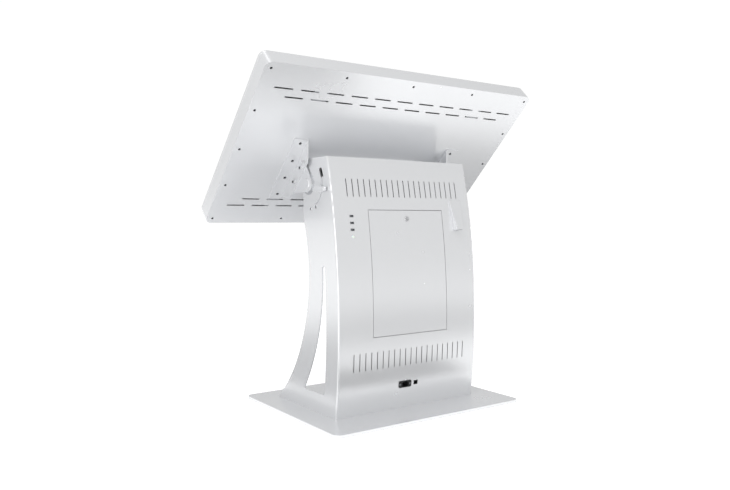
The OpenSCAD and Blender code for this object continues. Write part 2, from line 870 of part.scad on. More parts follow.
// Rubber roller that feeds the ticket under the print head
module printer_platen() {
    color("#26272a") translate([0, platen_y, platen_z]) rotate([0, 90, 0]) {
        translate([0, 0, -ear_x0 - ear_w - 4]) cylinder(r = platen_shaft_r, h = 2 * (ear_x0 + ear_w + 4));
        translate([0, 0, -roll_w / 2 - 1]) cylinder(r = platen_r, h = roll_w + 2);
    }
}

roll_y = printer_front + printer_depth + roll_r + 6;
roll_z = exit_z;
cradle_t = 3;
cradle_x = roll_w / 2 + 3;
spindle_r = core_r - run_fit;
cradle_y = rear_y(floor_top, column_r);      // back end of the housing floor

// Cradle for the ticket roll: a foot on the printer block, two cheeks and the spindle
module roll_cradle() {
    color("#a9abaf") {
        both_sides() along_x(cradle_x, cradle_x + cradle_t) {
            polygon([
                [printer_front + printer_depth, floor_top],
                [cradle_y, floor_top],
                [roll_y + 12, roll_z], [roll_y + 6, roll_z + 12], [roll_y - 6, roll_z + 12],
                [printer_front + printer_depth, floor_top + bed_h]
            ]);
        }
        translate([-cradle_x - cradle_t, roll_y, roll_z]) rotate([0, 90, 0])
            cylinder(r = spindle_r, h = 2 * (cradle_x + cradle_t));
    }
}

module paper_roll() {
    color("#f1efe8") translate([-roll_w / 2, roll_y, roll_z]) rotate([0, 90, 0])
        tube(roll_r, core_r, roll_w);
}

bezel_h = exit_h + 26;
// Lifts the flat bezel clear of the hollow front face
bezel_back = pow(bezel_h / 2, 2) / (2 * front_arc_r) + 0.08;

// Rounded frame around the ticket slot on the housing's front
module ticket_exit_bezel() {
    color("#2c2e31") at_front(0, exit_z) difference() {
        union() {
            translate([0, 0, bezel_back]) linear_extrude(5) round_rect(roll_w + 40, bezel_h, 6);
            translate([0, 0, -bezel_plug]) linear_extrude(bezel_plug + 1)
                square([roll_w + 7.5, exit_h + 5.5], center = true);
        }
        translate([0, 0, -7]) linear_extrude(14) square([roll_w + 4, exit_h], center = true);
    }
}

fan_d = 25;
fan_face = -sheet_t - pow(fan_w / 2, 2) / (2 * rear_arc_r) - 0.1;
fan_hub_r = fan_w * 0.2;
fan_post_r = 2;
fan_blades = 7;

module at_fan() {
    at_rear(0, vent_top_z) children();
}

// Fan frame behind the upper vents, with its motor seat on three struts
module exhaust_fan_frame() {
    color("#1f2023") at_fan() translate([0, 0, fan_face - fan_d]) {
        difference() {
            linear_extrude(fan_d) round_rect(fan_w, fan_w, 4);
            translate([0, 0, -1]) cylinder(r = fan_bore_r, h = fan_d + 2);
            for (x = [-1, 1], y = [-1, 1])
                translate([x * fan_screw_step / 2, y * fan_screw_step / 2, -1])
                    cylinder(r = cover_screw_r, h = fan_d + 2);
        }
        cylinder(r = fan_hub_r, h = 3);
        for (a = [0:120:359]) rotate([0, 0, a]) translate([0, -2, 0]) cube([fan_bore_r + 1, 4, 2.5]);
        cylinder(r = fan_post_r, h = fan_d - 8);
    }
}

// Fan rotor: a cup-shaped hub with slanted blades on the motor's post
module fan_rotor() {
    color("#2b2c30") at_fan() translate([0, 0, fan_face - fan_d + 3.5]) difference() {
        union() {
            cylinder(r = fan_hub_r, h = fan_d - 6);
            for (i = [0:fan_blades - 1]) rotate([0, 0, i * 360 / fan_blades])
                translate([0, 0, (fan_d - 6) / 2]) rotate([38, 0, 0])
                    translate([fan_hub_r - 1, -9, -0.75]) cube([fan_bore_r - fan_hub_r - 1, 18, 1.5]);
        }
        translate([0, 0, -4]) cylinder(r = fan_post_r + run_fit, h = fan_d - 7.5);
    }
}

/* Screen head, drawn in the frame of the tilt axis */

head_y = pivot_rise;                         // centre of the screen above the axis
screw_step_x = (head_w - 2 * panel_screw_in) / (panel_screws - 1);
screw_step_y = (head_h - 2 * panel_screw_in) / (panel_screws - 1);
panel_screw_r = 2;
shell_wall = 2;
lip_w = 30;
bezel_t = 7;
channel_x = arm_out + angle_w / 2;
channel_w = angle_w;
channel_t = 2;
angle_screw_r = 2.5;
angle_screw_y = angle_top - 17;

// Centres of the screws round the rear panel's edge
module at_panel_screws() {
    last = panel_screws - 1;
    for (i = [0:last], j = [0:last]) if (i == 0 || i == last || j == 0 || j == last)
        translate([
            (i - last / 2) * screw_step_x, head_y + (j - last / 2) * screw_step_y, head_back
        ]) children();
}

module at_angle_screws() {
    both_sides() for (i = [0:3])
        translate([arm_out + angle_w / 2, angle_screw_y - i * angle_screw_pitch, head_back]) children();
}

// Sheet back of the head, with two pairs of slot rows
module head_rear_panel() {
    color("#c8c9cc") in_head() difference() {
        translate([0, head_y, head_back]) linear_extrude(sheet_t)
            round_rect(head_w, head_h, head_corner_r);
        for (s = [-1, 1]) translate([0, head_y + s * (head_h / 2 - panel_slot_in), head_back - 1]) {
            for (x = spread(panel_slots, panel_slot_pitch)) translate([x, 0, 0])
                linear_extrude(sheet_t + 2) rotate(90) slot_shape(panel_slot_l, panel_slot_w);
            for (x = spread(panel_slots - 1, panel_slot_pitch))
                translate([x, -s * panel_slot_step, 0])
                    linear_extrude(sheet_t + 2) rotate(90) slot_shape(panel_slot_l, panel_slot_w);
        }
        at_panel_screws() translate([0, 0, -1]) cylinder(r = panel_screw_r, h = sheet_t + 2);
        at_angle_screws() translate([0, 0, -1]) cylinder(r = angle_screw_r, h = sheet_t + 2);
    }
}

// Side walls of the head, with a lip that the rear panel screws to
module head_shell() {
    shell_d = head_d - sheet_t - bezel_t;
    color("#d0d1d4") in_head() difference() {
        translate([0, head_y, head_back + sheet_t]) linear_extrude(shell_d)
            round_rect(head_w, head_h, head_corner_r);
        translate([0, head_y, head_back + sheet_t + shell_wall]) linear_extrude(shell_d)
            round_rect(head_w - 2 * shell_wall, head_h - 2 * shell_wall, head_corner_r - shell_wall);
        translate([0, head_y, head_back]) linear_extrude(head_d)
            square([head_w - 2 * lip_w, head_h - 2 * lip_w], center = true);
        at_panel_screws() cylinder(r = panel_screw_r, h = 10);
    }
}

module rear_panel_screws() {
    color("#55575b") in_head() at_panel_screws() {
        translate([0, 0, -1.6]) cylinder(r1 = 2.6, r2 = 4, h = 1.6);
        cylinder(r = panel_screw_r, h = 10);
    }
}

// Front frame: a flat rim with a rebate for the glass and a window for the display
module front_bezel() {
    color("#d2d3d6") in_head() difference() {
        translate([0, head_y, head_front - bezel_t]) linear_extrude(bezel_t)
            round_rect(head_w, head_h, head_corner_r);
        translate([0, head_y, head_front - glass_t]) linear_extrude(glass_t + 1)
            round_rect(glass_w + 1, glass_h + 1, 6.5);
        translate([0, head_y, head_front - bezel_t - 1]) linear_extrude(bezel_t + 2)
            square([lcd_w + 6, lcd_h + 6], center = true);
    }
}

module touch_glass() {
    color("#101216") in_head() translate([0, head_y, head_front - glass_t])
        linear_extrude(glass_t) round_rect(glass_w, glass_h, 6);
}

module lcd_module() {
    color("#6d7075") in_head() translate([0, head_y, lcd_back]) linear_extrude(lcd_t)
        square([lcd_w, lcd_h], center = true);
}

board_standoff = 6;
board_t = 1.6;

// A circuit board on four standoffs behind the display, with a few parts on it
module board(x, w, h, parts) {
    in_head() translate([x, head_y, lcd_back]) {
        for (sx = [-1, 1], sy = [-1, 1])
            translate([sx * (w / 2 - 6), sy * (h / 2 - 6), -board_standoff])
                cylinder(r = 3, h = board_standoff);
        translate([-w / 2, -h / 2, -board_standoff - board_t]) cube([w, h, board_t]);
        for (p = parts)
            translate([p[0] - p[2] / 2, p[1] - p[3] / 2, -board_standoff - board_t - p[4]])
                cube([p[2], p[3], p[4]]);
    }
}

module display_board() {
    color("#2f6b46") board(-150, 180, 120, [[-30, 0, 40, 40, 6], [40, 30, 24, 24, 4],
        [40, -35, 50, 16, 10], [-60, 45, 30, 12, 8]]);
}

module display_power_board() {
    color("#b48a4a") board(150, 180, 130, [[-45, 10, 44, 40, 11], [20, 20, 30, 50, 9],
        [60, -30, 22, 36, 11], [-20, -45, 60, 14, 8]]);
}

speaker_w = 40;
speaker_gap = 4.75;                          // from the channel and from the lip of the head's shell
speaker_x = channel_x + channel_w / 2 + speaker_gap;
speaker_l = head_w / 2 - lip_w - speaker_gap - speaker_x;

module speakers() {
    color("#2b2d31") in_head() both_sides()
        translate([
            speaker_x, head_y - head_h / 2 + panel_slot_in + 60,
            head_back + sheet_t
        ]) difference() {
            cube([speaker_l, speaker_w, lcd_back - head_back - sheet_t]);
            for (x = [0.25, 0.75])
                translate([x * speaker_l, speaker_w / 2, -1]) cylinder(r = speaker_w / 2 - 5, h = 4);
        }
}

// Channels inside the head that carry the display and take the bracket screws
module stiffener_channels() {
    depth = lcd_back - head_back - sheet_t;
    color("#aeb0b4") in_head() difference() {
        both_sides() translate([channel_x - channel_w / 2, head_y - lcd_h / 2, head_back + sheet_t])
            difference() {
                cube([channel_w, lcd_h, depth]);
                translate([channel_t, -1, channel_t])
                    cube([channel_w - 2 * channel_t, lcd_h + 2, depth]);
            }
        at_angle_screws() cylinder(r = angle_screw_r, h = 8);
    }
    color("#aeb0b4") in_head() both_sides() for (y = [-1, 1])
        translate([
            channel_x - channel_w / 2 + channel_t, head_y + y * (lcd_h / 2 - 12) - 10,
            lcd_back - channel_t
        ]) cube([channel_w - 2 * channel_t, 20, channel_t]);
}

arm_bolt_r = 4;
arm_bolt_z = head_back - 30;
arm_bolt_y = pivot_rise - 36;
arm_bolt_step = 61;

module at_arm_bolts() {
    for (i = [0, 1])
        translate([0, arm_bolt_y - i * arm_bolt_step, arm_bolt_z]) rotate([0, 90, 0]) children();
}

leg_cut_top = 55;                            // slant of the legs' upper ends
leg_cut_low = 35;                            // slant of their lower ends

// Angle screwed to the head's back, its leg beside the tilt arm
module mount_angle(side) {
    leg_z = head_back - angle_leg;
    color("#d9dadc") on_side(side) in_head() difference() {
        union() {
            translate([arm_out, angle_low, head_back - angle_t]) cube([angle_w, angle_l, angle_t]);
            along_x(arm_out, arm_out + angle_t) polygon([
                [angle_low, head_back], [angle_low + leg_cut_low, leg_z],
                [angle_top - leg_cut_top, leg_z], [angle_top, head_back]
            ]);
        }
        at_angle_screws() translate([0, 0, -angle_t - 1]) cylinder(r = angle_screw_r, h = angle_t + 2);
        at_arm_bolts() translate([0, 0, arm_out - 1]) cylinder(r = arm_bolt_r, h = angle_t + 2);
    }
}

module mount_angle_left() { mount_angle(-1); }
module mount_angle_right() { mount_angle(1); }

module angle_screws() {
    color("#4c4e52") in_head() at_angle_screws() {
        translate([0, 0, -angle_t - 2]) cylinder(r1 = 3.2, r2 = 4.6, h = 2);
        translate([0, 0, -angle_t]) cylinder(r = angle_screw_r, h = angle_t + 8);
    }
}

arm_top = pivot_rise - 10;
arm_low = pivot_rise - 150;
arm_root = head_back - 0.5;
arm_root_d = 26;                             // depth of the arm's wide end

// Tilt arm: a plate from the tilt shaft, widening towards the head
module tilt_arm(side) {
    color("#cfd0d3") on_side(side) in_head() difference() {
        along_x(arm_in, arm_out) hull() {
            circle(arm_end_r, $fn = 64);
            translate([arm_low, arm_root - arm_root_d]) square([arm_top - arm_low, arm_root_d]);
        }
        rotate([0, 90, 0]) translate([0, 0, arm_in - 1]) cylinder(r = shaft_r, h = arm_t + 2);
        at_arm_bolts() translate([0, 0, arm_in - 1]) cylinder(r = arm_bolt_r, h = arm_t + 2);
    }
}

module tilt_arm_left() { tilt_arm(-1); }
module tilt_arm_right() { tilt_arm(1); }

// Bolts through the angles and arms, with low heads on the arm's inner side
module arm_bolts() {
    color("#e4e5e7") both_sides() in_head() at_arm_bolts() {
        translate([0, 0, arm_in]) cylinder(r = arm_bolt_r, h = arm_t + angle_t + 3);
        translate([0, 0, arm_out + angle_t]) cylinder(r1 = 7, r2 = 5.5, h = 4);
        translate([0, 0, arm_in - 1.2]) cylinder(r = 6.5, h = 1.2);
    }
}

// Hollow shaft through both bushes, fixed to the tilt arms; the screen's leads run inside it
module pivot_shaft() {
    color("#b4b6ba") about_pivot() translate([0, 0, -arm_out])
        tube(shaft_r, shaft_r - shaft_wall, 2 * arm_out);
}

module pivot_end_caps() {
    color("#dcdddf") both_sides() about_pivot() {
        translate([0, 0, arm_out]) cylinder(r1 = shaft_r + 5, r2 = shaft_r + 3, h = 3);
        translate([0, 0, arm_out - 12]) cylinder(r = shaft_r - shaft_wall, h = 12);
    }
}

index_t = 6;
index_out = side_x - bush_l - 1.5;
index_r = 12;
index_rim_in = slot_r - slot_w / 2 - 8;
index_rim_out = slot_r + slot_w / 2 + 1;
index_rim_face = side_in - 2 * face_gap;      // the rim runs close behind the guide slot
// The rim's two ends, counted from the clamp bolt; the upper one passes under the top cover
index_low = -tilt_down - 4;
index_high = asin((pivot_drop - sheet_t - 2) / index_rim_out) - clamp_angle - tilt_up;

// Quadrants on the shaft that carry the clamp bolts; their rims close the guide slots from inside
module index_arms() {
    back = index_out - index_t;
    color("#d9dadc") both_sides() about_pivot(clamp_angle) difference() {
        union() {
            translate([0, 0, back]) linear_extrude(index_t) {
                circle(shaft_r + 8);
                translate([0, -index_r]) square([slot_r, 2 * index_r]);
            }
            rotate([0, 0, index_low]) rotate_extrude(angle = index_high - index_low, $fn = 180)
                translate([index_rim_in, back])
                    square([index_rim_out - index_rim_in, index_rim_face - back]);
        }
        translate([0, 0, back - 1]) cylinder(r = shaft_r, h = index_t + 2);
        translate([slot_r, 0, back - 1]) cylinder(r = clamp_bolt_r, h = index_t + 2);
        translate([slot_r, 0, index_out]) cylinder(r = slot_w / 2, h = index_t);
    }
}

module at_clamp() {
    about_pivot(clamp_angle) translate([slot_r, 0, 0]) children();
}

lever_in = side_x + 1;
lever_bar_in = side_x + 4;
lever_t = 10;
lever_w = 15;

// Clamp bolts with the sliding bushes that ride in the guide slots
module clamp_bolts() {
    color("#a8aaae") both_sides() at_clamp() {
        translate([0, 0, index_out - index_t - 4]) cylinder(r = 7, h = 4, $fn = 6);
        translate([0, 0, index_out - index_t]) cylinder(r = clamp_bolt_r, h = side_x - index_out + index_t + 10);
        translate([0, 0, index_out]) cylinder(r = slot_w / 2 - slip_fit, h = side_x - index_out + 0.5);
    }
}

// Lever nut that clamps the screen at its tilt, stored level
module clamp_lever(side) {
    color("#eceded") on_side(side) at_clamp() rotate([0, 0, 90 - clamp_angle]) difference() {
        union() {
            translate([0, 0, lever_in]) cylinder(r = 11, h = lever_bar_in - lever_in + lever_t);
            translate([0, 0, lever_bar_in]) linear_extrude(lever_t)
                slot_shape(lever_l, lever_w);
        }
        translate([0, 0, lever_in - 1]) cylinder(r = clamp_bolt_r + run_fit, h = side_x + 10.2 - lever_in + 1);
    }
}

module clamp_lever_left() { clamp_lever(-1); }
module clamp_lever_right() { clamp_lever(1); }

base_plate();
base_bolts();
foot_angles();
side_plate_left();
side_plate_right();
rear_cover();
column_front_panel();
upper_front_panel();
housing_floor();
top_cover();
stay_bar();
pivot_bushes();
friction_washers();
side_screws();
mains_inlet();
inlet_screws();
network_socket();
usb_sockets();
status_lamp();
mini_pc();
power_supply();
ticket_printer();
printer_platen();
roll_cradle();
paper_roll();
ticket_exit_bezel();
exhaust_fan_frame();
fan_rotor();
cable_hood();
hinge_brackets();
service_door();
door_hinge_arms();
lock_case();
lock_barrel();
lock_cam();
head_rear_panel();
head_shell();
rear_panel_screws();
front_bezel();
touch_glass();
lcd_module();
display_board();
display_power_board();
speakers();
stiffener_channels();
mount_angle_left();
mount_angle_right();
angle_screws();
tilt_arm_left();
tilt_arm_right();
arm_bolts();
pivot_shaft();
pivot_end_caps();
index_arms();
clamp_bolts();
clamp_lever_left();
clamp_lever_right();
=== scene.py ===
import math

import bmesh
import bpy
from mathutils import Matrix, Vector


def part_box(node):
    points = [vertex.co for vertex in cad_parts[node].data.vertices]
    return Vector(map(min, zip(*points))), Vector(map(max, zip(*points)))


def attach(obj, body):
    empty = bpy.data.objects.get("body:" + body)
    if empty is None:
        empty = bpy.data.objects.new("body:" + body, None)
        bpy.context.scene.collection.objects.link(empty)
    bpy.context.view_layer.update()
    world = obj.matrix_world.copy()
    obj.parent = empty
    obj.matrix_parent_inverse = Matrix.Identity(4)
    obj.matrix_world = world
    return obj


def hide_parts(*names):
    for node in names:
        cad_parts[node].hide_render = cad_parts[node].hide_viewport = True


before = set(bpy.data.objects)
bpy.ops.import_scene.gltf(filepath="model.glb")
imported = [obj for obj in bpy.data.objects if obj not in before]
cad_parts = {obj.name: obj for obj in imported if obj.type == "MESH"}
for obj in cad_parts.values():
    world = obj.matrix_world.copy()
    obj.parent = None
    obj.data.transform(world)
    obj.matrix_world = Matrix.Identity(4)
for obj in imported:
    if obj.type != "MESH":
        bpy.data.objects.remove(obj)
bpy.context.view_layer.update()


# ---------------------------------------------------------------- Camera
# A normal lens a little behind the kiosk's right shoulder, at the height of the pedestal's
# middle, turned almost level. The back, one side plate and the underside of the head show.

camera_place = Vector((1.4469, 1.9742, 0.6190))
camera_turn = math.radians(34.94)
camera_dip = math.radians(2.07)

camera = bpy.data.objects.new("camera", bpy.data.cameras.new("camera"))
bpy.context.collection.objects.link(camera)
camera.data.sensor_width = 36.0
camera.data.lens = 35.48
camera.location = camera_place
look = Vector((
    -math.sin(camera_turn) * math.cos(camera_dip),
    -math.cos(camera_turn) * math.cos(camera_dip),
    -math.sin(camera_dip),
))
camera.rotation_mode = "QUATERNION"
camera.rotation_quaternion = look.to_track_quat("-Z", "Y")
bpy.context.scene.camera = camera


# ---------------------------------------------------------------- Studio
# A white studio: a pale matt floor that runs out of sight and glows, an even surround, two soft
# boxes, and grey cards on the floor that only paint darker bands into the satin paint's
# reflections: painted shade.


def linear(hex_colour):
    """The linear RGBA of an sRGB hex colour."""
    parts = [int(hex_colour[i:i + 2], 16) / 255 for i in (1, 3, 5)]
    light = [c / 12.92 if c <= 0.04045 else ((c + 0.055) / 1.055) ** 2.4 for c in parts]
    return (*light, 1.0)


def add(tree, kind, inputs=None, **settings):
    """Adds a node: settings are its own, inputs are values or links for its sockets."""
    made = tree.nodes.new(kind)
    for name, value in settings.items():
        setattr(made, name, value)
    for socket, value in (inputs or {}).items():
        if isinstance(value, bpy.types.NodeSocket):
            tree.links.new(value, made.inputs[socket])
        else:
            made.inputs[socket].default_value = value
    return made


def start_material(name, colour, roughness, metallic=0.0, **sockets):
    """A material with its tree and its shader, whose constants are set on the shader itself."""
    material = bpy.data.materials.new(name)
    material.use_nodes = True
    shader = material.node_tree.nodes["Principled BSDF"]
    values = {"Base Color": linear(colour), "Roughness": roughness, "Metallic": metallic}
    for socket, value in {**values, **sockets}.items():
        shader.inputs[socket].default_value = value
    return material, material.node_tree, shader


def flat_sheet(name, low, high, material):
    """A level rectangle from one corner to the other."""
    mesh = bpy.data.meshes.new(name)
    corners = [(low[0], low[1]), (high[0], low[1]), (high[0], high[1]), (low[0], high[1])]
    mesh.from_pydata([(x, y, low[2]) for x, y in corners], [], [(0, 1, 2, 3)])
    mesh.materials.append(material)
    sheet = bpy.data.objects.new(name, mesh)
    bpy.context.collection.objects.link(sheet)
    return sheet


def soft_box(name, place, aim, size, power):
    """A square area light that points at a place."""
    light = bpy.data.lights.new(name, "AREA")
    light.shape = "SQUARE"
    light.size = size
    light.energy = power
    lamp = bpy.data.objects.new(name, light)
    bpy.context.collection.objects.link(lamp)
    lamp.location = place
    lamp.rotation_mode = "QUATERNION"
    lamp.rotation_quaternion = (Vector(aim) - Vector(place)).to_track_quat("-Z", "Y")


white = (1, 1, 1, 1)
floor_half = 40.0
floor_glow = 0.45
# Light comes up through the floor, as from a photographer's lit table.
floor_paint, _, _ = start_material("matt_white_floor", "#FAFAFA", 0.85, **{
    "Emission Color": white, "Emission Strength": floor_glow})
flat_sheet("floor", (-floor_half, -floor_half, 0), (floor_half, floor_half, 0), floor_paint)

card_height = 0.004
shade_reflection_cards = {
    "shade_reflection_behind": ("#2C2C2E", (-0.46, 0.36), (0.80, 0.60)),
    "shade_reflection_far_behind": ("#B2B2B2", (-2.60, 0.95), (0.60, 3.20)),
    "shade_reflection_far_side": ("#9A9A9A", (-1.80, -0.80), (-0.95, 0.20)),
    "shade_reflection_near_side": ("#B0B0B2", (0.42, -1.50), (1.50, 0.10)),
}
# Each card is seen only in glossy reflections. It casts no shadow and lights nothing, so it is a
# painted shade in the paint's reflections. The darkest card, behind the kiosk, stands in for the
# kiosk's shadow on the floor.
for name, (grey, low, high) in shade_reflection_cards.items():
    paint, _, _ = start_material(name + "_paper", grey, 0.9)
    card = flat_sheet(name, (*low, card_height), (*high, card_height), paint)
    for ray in ("camera", "diffuse", "transmission", "volume_scatter", "shadow"):
        setattr(card, "visible_" + ray, False)

surround = bpy.data.worlds.new("white_surround")
surround.use_nodes = True
bpy.context.scene.world = surround
backdrop = surround.node_tree.nodes["Background"]
backdrop.inputs["Color"].default_value = white
# The backdrop is burnt out to white behind the kiosk, and a third dimmer as a light.
white_as_light, white_as_seen = 0.68, 1.02
seen = add(surround.node_tree, "ShaderNodeLightPath").outputs["Is Camera Ray"]
strength = add(surround.node_tree, "ShaderNodeMapRange", {
    "Value": seen, "To Min": white_as_light, "To Max": white_as_seen})
surround.node_tree.links.new(strength.outputs["Result"], backdrop.inputs["Strength"])
bpy.context.scene.view_settings.view_transform = "Standard"

kiosk_middle = (0, 0, 0.55)
soft_box("key_box", (1.2, 1.0, 3.2), kiosk_middle, size=1.6, power=22)
soft_box("edge_box", (2.9, 1.8, 0.8), kiosk_middle, size=1.3, power=12)


# ---------------------------------------------------------------- Base plate
# A 9 mm steel plate, laser-cut, its edges rounded by grinding, then sprayed with the satin
# silver-white powder coat that covers every outer panel of the kiosk.


def powder_coat(name, colour, roughness):
    """Baked powder with aluminium flake: satin silver-white, faint orange peel, thin gloss."""
    material, tree, shader = start_material(
        name, colour, roughness, metallic=0.58, **{"Coat Weight": 0.1, "Coat Roughness": 0.2})
    place = add(tree, "ShaderNodeTexCoord").outputs["Object"]
    # Orange peel has a pitch of 2 to 3 mm; it is drawn at 7 mm so that it still shows.
    peel = add(tree, "ShaderNodeTexNoise", {"Vector": place, "Scale": 1 / 0.007, "Detail": 2.0})
    bump = add(tree, "ShaderNodeBump", {
        "Height": peel.outputs["Fac"], "Strength": 0.012, "Distance": 0.0003})
    tree.links.new(bump.outputs["Normal"], shader.inputs["Normal"])
    # The coat's thickness drifts over a hand's width, which shifts colour and gloss a little.
    drift = add(tree, "ShaderNodeTexNoise", {"Vector": place, "Scale": 1 / 0.12, "Detail": 3.0})
    tone = add(tree, "ShaderNodeMapRange", {
        "Value": drift.outputs["Fac"], "To Min": 0.992, "To Max": 1.004})
    shade = add(tree, "ShaderNodeVectorMath", {
        0: linear(colour)[:3], "Scale": tone.outputs["Result"]}, operation="SCALE")
    tree.links.new(shade.outputs["Vector"], shader.inputs["Base Color"])
    gloss = add(tree, "ShaderNodeMapRange", {
        "Value": drift.outputs["Fac"], "To Min": roughness - 0.01, "To Max": roughness + 0.01})
    tree.links.new(gloss.outputs["Result"], shader.inputs["Roughness"])
    return material


# Points of a CAD mesh that are nearer than this are one point.
same_point = 2e-6
# Faces that meet at less than this shade as one smooth surface.
smooth_below = math.radians(32)


def eased(node, body, radius, material, steps=3):
    """A copy of a CAD node, merged, its flats joined and its sharp edges rounded by radius."""
    shape = bmesh.new()
    shape.from_mesh(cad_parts[node].data)
    bmesh.ops.remove_doubles(shape, verts=shape.verts, dist=same_point)
    bmesh.ops.dissolve_limit(
        shape, angle_limit=math.radians(0.2), verts=shape.verts, edges=shape.edges)
    mesh = bpy.data.meshes.new(node + "_finished")
    shape.to_mesh(mesh)
    shape.free()
    if "custom_normal" in mesh.attributes:
        mesh.attributes.remove(mesh.attributes["custom_normal"])
    mesh.shade_smooth()
    mesh.set_sharp_from_angle(angle=smooth_below)
    mesh.materials.clear()
    mesh.materials.append(material)
    piece = bpy.data.objects.new(node + "_finished", mesh)
    bpy.context.collection.objects.link(piece)
    rounding = piece.modifiers.new("rounded_edges", "BEVEL")
    rounding.width = radius
    rounding.segments = steps
    rounding.limit_method = "ANGLE"
    rounding.angle_limit = math.radians(40)
    rounding.use_clamp_overlap = True
    rounding.harden_normals = True
    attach(piece, body)
    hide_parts(node)


white_coat = powder_coat("silver_powder_coated_steel", "#EBECEE", 0.27)
base_edge = 0.003
eased("base_plate", "pedestal", base_edge, white_coat, steps=5)


# ---------------------------------------------------------------- Foot angles and base bolts
# Two folded angles of galvanised steel stand inside the side plates, and countersunk bolts
# from under the base plate hold them down.


def galvanised(name, colour):
    """Hot-dipped zinc: dull metal with flat crystals about a fingertip wide, each a shade apart."""
    material, tree, shader = start_material(name, colour, 0.42, metallic=0.85)
    place = add(tree, "ShaderNodeTexCoord").outputs["Object"]
    spangle = add(tree, "ShaderNodeTexVoronoi", {"Vector": place, "Scale": 1 / 0.012})
    tone = add(tree, "ShaderNodeSeparateColor", {"Color": spangle.outputs["Color"]})
    level = add(tree, "ShaderNodeMapRange", {
        "Value": tone.outputs["Red"], "To Min": 0.82, "To Max": 1.08})
    shade = add(tree, "ShaderNodeVectorMath", {
        0: linear(colour)[:3], "Scale": level.outputs["Result"]}, operation="SCALE")
    tree.links.new(shade.outputs["Vector"], shader.inputs["Base Color"])
    gloss = add(tree, "ShaderNodeMapRange", {
        "Value": tone.outputs["Green"], "To Min": 0.34, "To Max": 0.5})
    tree.links.new(gloss.outputs["Result"], shader.inputs["Roughness"])
    return material


def dress(node, material):
    """Gives a CAD node that stays as it is its finish."""
    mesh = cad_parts[node].data
    mesh.materials.clear()
    mesh.materials.append(material)


zinc_sheet = galvanised("galvanised_steel", "#A9ABAE")
dress("foot_angles", zinc_sheet)


def plated(name, colour, roughness):
    """Bright zinc plate on turned steel: a soft metal shine with faint cloudy stains."""
    material, tree, shader = start_material(name, colour, roughness, metallic=1.0)
    place = add(tree, "ShaderNodeTexCoord").outputs["Object"]
    cloud = add(tree, "ShaderNodeTexNoise", {"Vector": place, "Scale": 1 / 0.005, "Detail": 4.0})
    gloss = add(tree, "ShaderNodeMapRange", {
        "Value": cloud.outputs["Fac"], "To Min": roughness - 0.08, "To Max": roughness + 0.1})
    tree.links.new(gloss.outputs["Result"], shader.inputs["Roughness"])
    return material


def fastener_places(node, outwards):
    """The outer end, the way it points and the length of each fastener in a CAD node."""
    shape = bmesh.new()
    shape.from_mesh(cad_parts[node].data)
    bmesh.ops.remove_doubles(shape, verts=shape.verts, dist=same_point)
    left, places = set(shape.verts), []
    while left:
        group, front = set(), [left.pop()]
        while front:
            vert = front.pop()
            group.add(vert)
            near = {edge.other_vert(vert) for edge in vert.link_edges} & left
            left -= near
            front.extend(near)
        spots = [vert.co.copy() for vert in group]
        lows = Vector([min(spot[i] for spot in spots) for i in range(3)])
        highs = Vector([max(spot[i] for spot in spots) for i in range(3)])
        middle = (lows + highs) / 2
        axis = Vector(outwards(middle)).normalized()
        depths = [(spot - middle).dot(axis) for spot in spots]
        places.append((middle + axis * max(depths), axis, max(depths) - min(depths)))
    shape.free()
    return places


